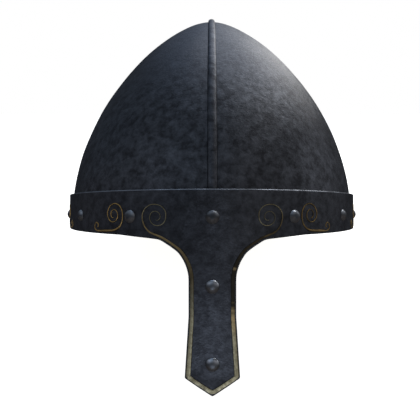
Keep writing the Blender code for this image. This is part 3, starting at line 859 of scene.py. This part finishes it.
def set_rivet(name, angle, height, grip, handled):
    """A rivet turned about the plate's normal, a little uneven from the hammer, its head rubbed
    brighter by hands to this share, which also scales the painted highlight on its upper edge."""
    normal = band_normal(angle)
    turn = normal.to_track_quat("Z", "Y")
    foot = plate_point(angle * BAND_HALF_WIDTH, height)
    seed = Vector((11.0 * angle, 700 * height, 3.0))
    # (radius, height above the plate, how far out towards its edge)
    profile = []
    for ring in range(HEAD_RINGS + 1):
        sweep = last_sweep * ring / HEAD_RINGS
        rise = HEAD_RISE - head_ball * (1 - math.cos(sweep))
        profile.append((head_ball * math.sin(sweep), rise, ramp(ring / HEAD_RINGS, 0.1, 0.9)))
    profile.append((HEAD_RADIUS + HEAD_FLARE, HEAD_SKIRT / 2, 1.0))
    profile.append((HEAD_RADIUS + HEAD_FLARE, -HEAD_SUNK, 1.0))
    profile.append((SHANK_RADIUS, -HEAD_SUNK, 0.0))
    profile.append((SHANK_RADIUS, -grip, 0.0))
    profile.append((TAIL_RADIUS * 0.96, -grip, 1.0))
    profile.append((TAIL_RADIUS, -grip - 0.3 * TAIL_RISE, 0.6))
    profile.append((TAIL_RADIUS * 0.8, -grip - 0.85 * TAIL_RISE, 0.0))
    profile.append((0.0, -grip - TAIL_RISE, 0.0))
    points = []
    painted_light = []
    wear_and_highlight = []
    for radius, rise, outward in profile[1:-1]:
        for side in range(RIVET_SIDES):
            sweep = math.tau * side / RIVET_SIDES
            spot = Vector((math.cos(sweep) * radius, math.sin(sweep) * radius, rise))
            uneven = 1 + HEAD_UNEVEN * noise.noise(spot / HEAD_UNEVEN_LENGTH + seed)
            points.append(foot + turn @ Vector((spot.x * uneven, spot.y * uneven, spot.z * uneven)))
            upward = math.sin(sweep + PAINTED_HIGHLIGHT_TURN) if rise > 0 else -1.0
            # A brown painted reflection towards the foot on the lower side, a painted highlight along the
            # edge on the upper side
            painted_light.append(ramp(outward, 0.0, 0.4) * ramp(-upward, -0.3, 0.5))
            wear_and_highlight.append(handled + (0.5 + 2 * handled) * outward ** 2 * ramp(upward, 0.0, 0.9))
    points.append(foot + turn @ Vector((0, 0, profile[0][1] * CROWN_FLATTENED)))
    points.append(foot + normal * profile[-1][1])
    painted_light += [0.0, 0.0]
    wear_and_highlight += [handled, handled]
    crown, base = len(points) - 2, len(points) - 1
    rings = len(profile) - 2
    faces = []
    for side in range(RIVET_SIDES):
        beside = (side + 1) % RIVET_SIDES
        faces.append((crown, side, beside))
        for ring in range(rings - 1):
            upper = ring * RIVET_SIDES
            lower = upper + RIVET_SIDES
            faces.append((upper + side, lower + side, lower + beside, upper + beside))
        last = (rings - 1) * RIVET_SIDES
        faces.append((last + beside, last + side, base))
    rivet = make_piece(name, points, faces, [rivet_iron])
    mark(rivet, "painted_light", painted_light)
    mark(rivet, "wear_and_highlight", wear_and_highlight)
    return rivet


band_grip = BAND_THICKNESS + BOWL_THICKNESS + 2 * SEAT_GAP
for number in range(16):
    rivet = set_rivet(f"rivet_{number + 1:02d}", number * RIVET_SPACING, RIVET_HEIGHT, band_grip,
                      BAND_RIVET_WEAR_AND_HIGHLIGHT if number else 0.0)
    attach(rivet, "root")
    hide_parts(f"band_rivet_{number + 1:02d}")
for name, drop in NASAL_RIVET_DROPS:
    rivet = set_rivet(f"nose_guard_rivet_{name}", 0.0, -drop, BAND_THICKNESS, NASAL_RIVET_WEAR_AND_HIGHLIGHT)
    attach(rivet, "root")
    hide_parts(f"nasal_rivet_{name}")


# The studio: a white floor that glows, as a light table does, and soft light. Softboxes high behind on
# the right draw the highlight down the bowl, light the crown and glint on the rivets. Screens stand
# all round, mostly cool, and a brighter one low in front lights the band and the nose guard.
FLOOR_REACH = 6.0
FLOOR_COLOUR = "#f2f1ee"
FLOOR_GLOW = 1.12
ROOM_COLOUR = "#3f4145"
LIGHTS_AIM = Vector((0, 0, 0.09))

floor_mesh = bpy.data.meshes.new("floor")
floor_mesh.from_pydata([(-FLOOR_REACH, -FLOOR_REACH, 0), (FLOOR_REACH, -FLOOR_REACH, 0),
                        (FLOOR_REACH, FLOOR_REACH, 0), (-FLOOR_REACH, FLOOR_REACH, 0)],
                       [], [(0, 1, 2, 3)])
floor = bpy.data.objects.new("floor", floor_mesh)
bpy.context.scene.collection.objects.link(floor)
light_table = bpy.data.materials.new("white_light_table")
light_table.use_nodes = True
table_shader = light_table.node_tree.nodes["Principled BSDF"]
table_shader.inputs["Base Color"].default_value = linear(FLOOR_COLOUR)
table_shader.inputs["Roughness"].default_value = 0.9
table_shader.inputs["Specular IOR Level"].default_value = 0.0
table_shader.inputs["Emission Color"].default_value = linear(FLOOR_COLOUR)
table_shader.inputs["Emission Strength"].default_value = FLOOR_GLOW
floor_mesh.materials.append(light_table)
floor.visible_glossy = False


def toward(azimuth, elevation):
    """The direction at this angle round the helmet, 0 in front and positive to the right of the
    picture, and at this angle above the floor, both in degrees."""
    azimuth, elevation = math.radians(azimuth), math.radians(elevation)
    return Vector((math.sin(azimuth) * math.cos(elevation),
                   -math.cos(azimuth) * math.cos(elevation), math.sin(elevation)))


def softbox(name, azimuth, elevation, distance, size, radiance, colour):
    """A square softbox aimed at the helmet. Its power follows from how bright its face is to be."""
    data = bpy.data.lights.new(name, "AREA")
    data.shape = "SQUARE"
    data.size = size
    data.energy = radiance * math.pi * size * size
    data.color = linear(colour)[:3]
    lamp = bpy.data.objects.new(name, data)
    way = toward(azimuth, elevation)
    lamp.location = LIGHTS_AIM + way * distance
    lamp.rotation_euler = way.to_track_quat("Z", "Y").to_euler()
    lamp.visible_camera = False
    bpy.context.scene.collection.objects.link(lamp)


softbox("key_softbox", 145, 34, 1.1, 0.54, 4.6, "#fffdf8")
softbox("crown_softbox", 150, 56, 1.2, 0.90, 1.9, "#ffffff")
softbox("rivet_softbox", 105, 54, 1.1, 0.25, 4.0, "#ffffff")

studio = bpy.data.worlds.new("studio")
studio.use_nodes = True
bpy.context.scene.world = studio
tree = studio.node_tree
heading = node(tree, "ShaderNodeTexCoord").outputs["Generated"]
# The screens: (azimuth, elevation, degrees from its middle to its edge, radiance, colour)
GLOWS = (
    (180, 56, 36, 1.06, "#cae0ff"),
    (-120, 30, 36, 0.24, "#cce5ff"),
    (-60, 28, 36, 0.35, "#e9efff"),
    (-30, 56, 36, 0.38, "#d1e6ff"),
    (40, 32, 40, 0.30, "#fdfaff"),
    (-102, -2, 26, 0.26, "#f6f4ff"),
    (90, 0, 36, 0.28, "#fafaff"),
    (108, 20, 24, 0.85, "#f9faff"),
    (0, -23, 30, 1.80, "#e2ecff"),
    (30, -15, 30, 0.22, "#fffaf2"),
)
light = node(tree, "ShaderNodeMix", {0: 1.0, 6: (0, 0, 0, 1), 7: linear(ROOM_COLOUR)},
             data_type="RGBA").outputs[2]
for azimuth, elevation, spread, radiance, colour in GLOWS:
    facing = node(tree, "ShaderNodeVectorMath", {1: toward(azimuth, elevation)}, {0: heading},
                  operation="DOT_PRODUCT").outputs["Value"]
    falloff = node(tree, "ShaderNodeMapRange",
                   {"From Min": math.cos(math.radians(spread)), "From Max": 1.0,
                    "To Min": 0.0, "To Max": radiance},
                   {"Value": facing}, interpolation_type="SMOOTHSTEP").outputs[0]
    glow = node(tree, "ShaderNodeVectorMath", {0: linear(colour)[:3]}, {"Scale": falloff},
                operation="SCALE").outputs[0]
    light = node(tree, "ShaderNodeVectorMath", None, {0: light, 1: glow}, operation="ADD").outputs[0]
seen = node(tree, "ShaderNodeLightPath").outputs["Is Camera Ray"]
light = node(tree, "ShaderNodeMix", {7: (1, 1, 1, 1)}, {0: seen, 6: light}, data_type="RGBA").outputs[2]
tree.links.new(light, tree.nodes["Background"].inputs["Color"])
bpy.context.scene.view_settings.view_transform = "Standard"

# The camera: level with the brow band and square to it, so it leans with the helmet, and close
CAMERA_PLACE = Vector((-0.0011, -0.2742, 0.0132))
camera_data = bpy.data.cameras.new("camera")
camera_data.sensor_width = 36.0
camera_data.lens = 28.68
camera_data.shift_y = -2 / 420
camera = bpy.data.objects.new("camera", camera_data)
camera.matrix_world = set_down @ Matrix.Translation(CAMERA_PLACE) @ Matrix.Rotation(math.pi / 2, 4, "X")
bpy.context.scene.collection.objects.link(camera)
bpy.context.scene.camera = camera
